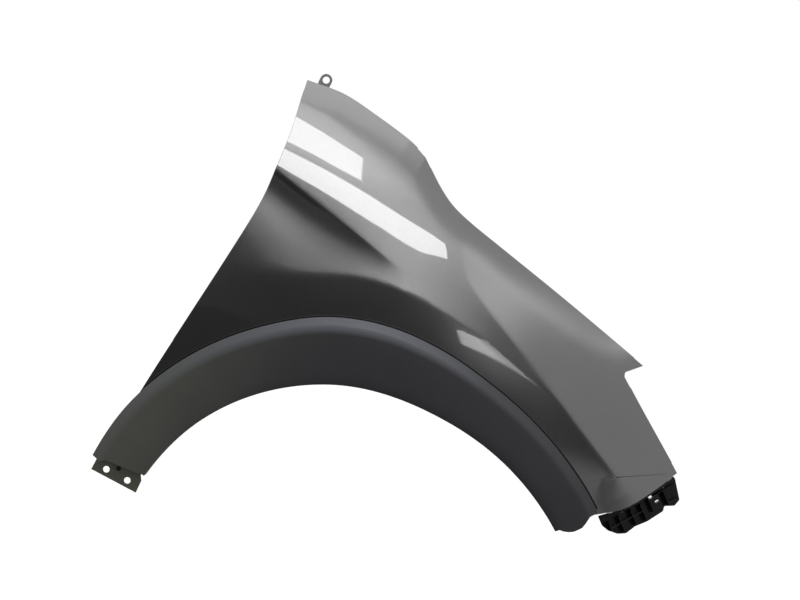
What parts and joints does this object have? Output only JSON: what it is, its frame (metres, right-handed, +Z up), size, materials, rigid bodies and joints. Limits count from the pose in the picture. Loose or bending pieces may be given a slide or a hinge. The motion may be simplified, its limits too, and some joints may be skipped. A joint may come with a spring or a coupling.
{
  "type": "car front fender",
  "caption": "Right-hand front fender of a car: painted steel panel with a textured wheel arch moulding, bumper side bracket and rear eye.",
  "frame": {"origin": "the seat under the bonnet-side shelf, between its two bolt holes, where the shelf rests on the body", "axes": "+X forward along the car, +Y inboard, +Z up; the painted outer face looks towards -Y"},
  "size_m": [0.9279, 0.1803, 0.7796],
  "materials": {
    "paint_grey": "glossy grey metallic paint under clear coat",
    "plastic_textured": "fine-grained, unpainted dark grey",
    "rubber_black": "satin black",
    "plastic_bracket": "moulded black, slightly shiny",
    "steel_black": "black-coated",
    "steel_zinc": "zinc-plated",
    "plastic_black": "black",
    "plastic_clip": "natural off-white"
  },
  "bodies": {
    "root": {"fender_panel": "paint_grey", "arch_moulding": "plastic_textured", "moulding_seal": "rubber_black", "bumper_bracket": "plastic_bracket", "bracket_screw_1": "steel_black", "bracket_screw_2": "steel_black", "rear_tab": "steel_zinc", "foot_clip": "plastic_black", "moulding_clip_01": "plastic_clip", "moulding_clip_02": "plastic_clip", "moulding_clip_03": "plastic_clip", "moulding_clip_04": "plastic_clip", "moulding_clip_05": "plastic_clip", "moulding_clip_06": "plastic_clip", "moulding_clip_07": "plastic_clip", "moulding_clip_08": "plastic_clip"}
  },
  "joints": []
}
